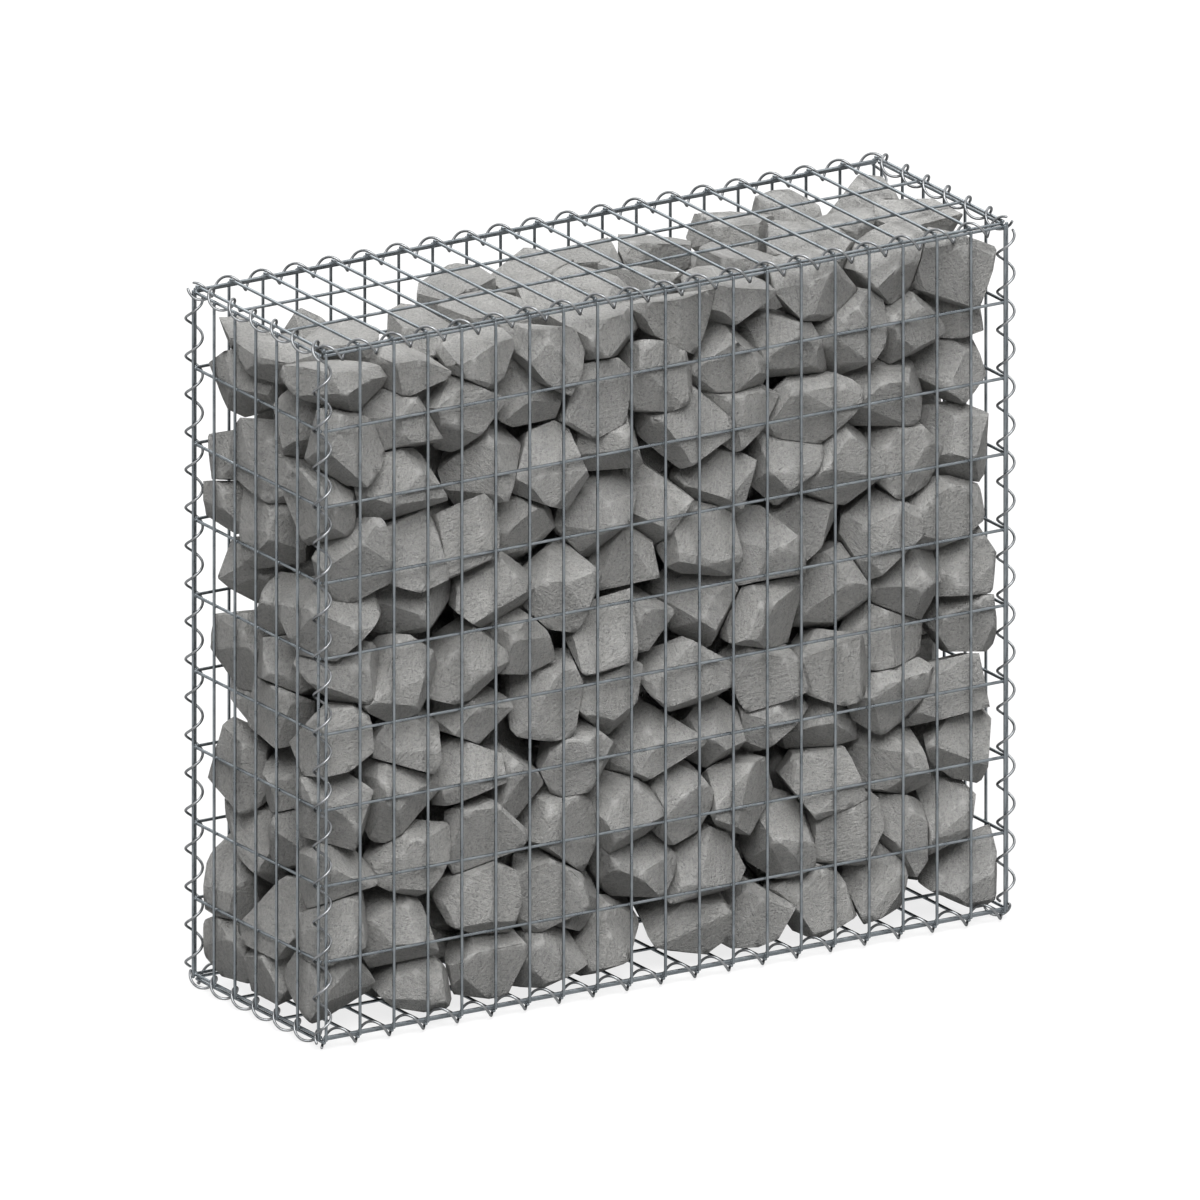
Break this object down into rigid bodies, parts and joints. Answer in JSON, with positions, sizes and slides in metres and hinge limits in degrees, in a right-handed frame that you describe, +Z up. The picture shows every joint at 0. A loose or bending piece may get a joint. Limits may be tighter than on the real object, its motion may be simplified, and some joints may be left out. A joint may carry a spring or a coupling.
{
  "type": "gabion wall",
  "caption": "Free-standing gabion wall: a welded-mesh basket, laced along its edges with spiral wire and filled with broken grey stone.",
  "frame": {"origin": "on the ground, under the middle of the basket", "axes": "+X along the wall, +Y from the front to the back, +Z up"},
  "size_m": [1.032, 0.3301, 0.932],
  "materials": {
    "mesh_wire": "dull zinc-aluminium coating",
    "spiral_wire": "bright zinc-aluminium coating",
    "stone": "rough broken grey stone"
  },
  "bodies": {
    "root": {"front_mesh": "mesh_wire", "back_mesh": "mesh_wire", "left_mesh": "mesh_wire", "right_mesh": "mesh_wire", "base_mesh": "mesh_wire", "lid_mesh": "mesh_wire", "front_left_spiral": "spiral_wire", "front_right_spiral": "spiral_wire", "back_left_spiral": "spiral_wire", "back_right_spiral": "spiral_wire", "front_lower_spiral": "spiral_wire", "front_upper_spiral": "spiral_wire", "back_lower_spiral": "spiral_wire", "back_upper_spiral": "spiral_wire", "left_lower_spiral": "spiral_wire", "left_upper_spiral": "spiral_wire", "right_lower_spiral": "spiral_wire", "right_upper_spiral": "spiral_wire", "stone_course_1": "stone", "stone_course_2": "stone", "stone_course_3": "stone", "stone_course_4": "stone", "stone_course_5": "stone", "stone_course_6": "stone", "stone_course_7": "stone", "stone_course_8": "stone", "stone_course_9": "stone", "stone_course_10": "stone", "stone_course_11": "stone"}
  },
  "joints": []
}
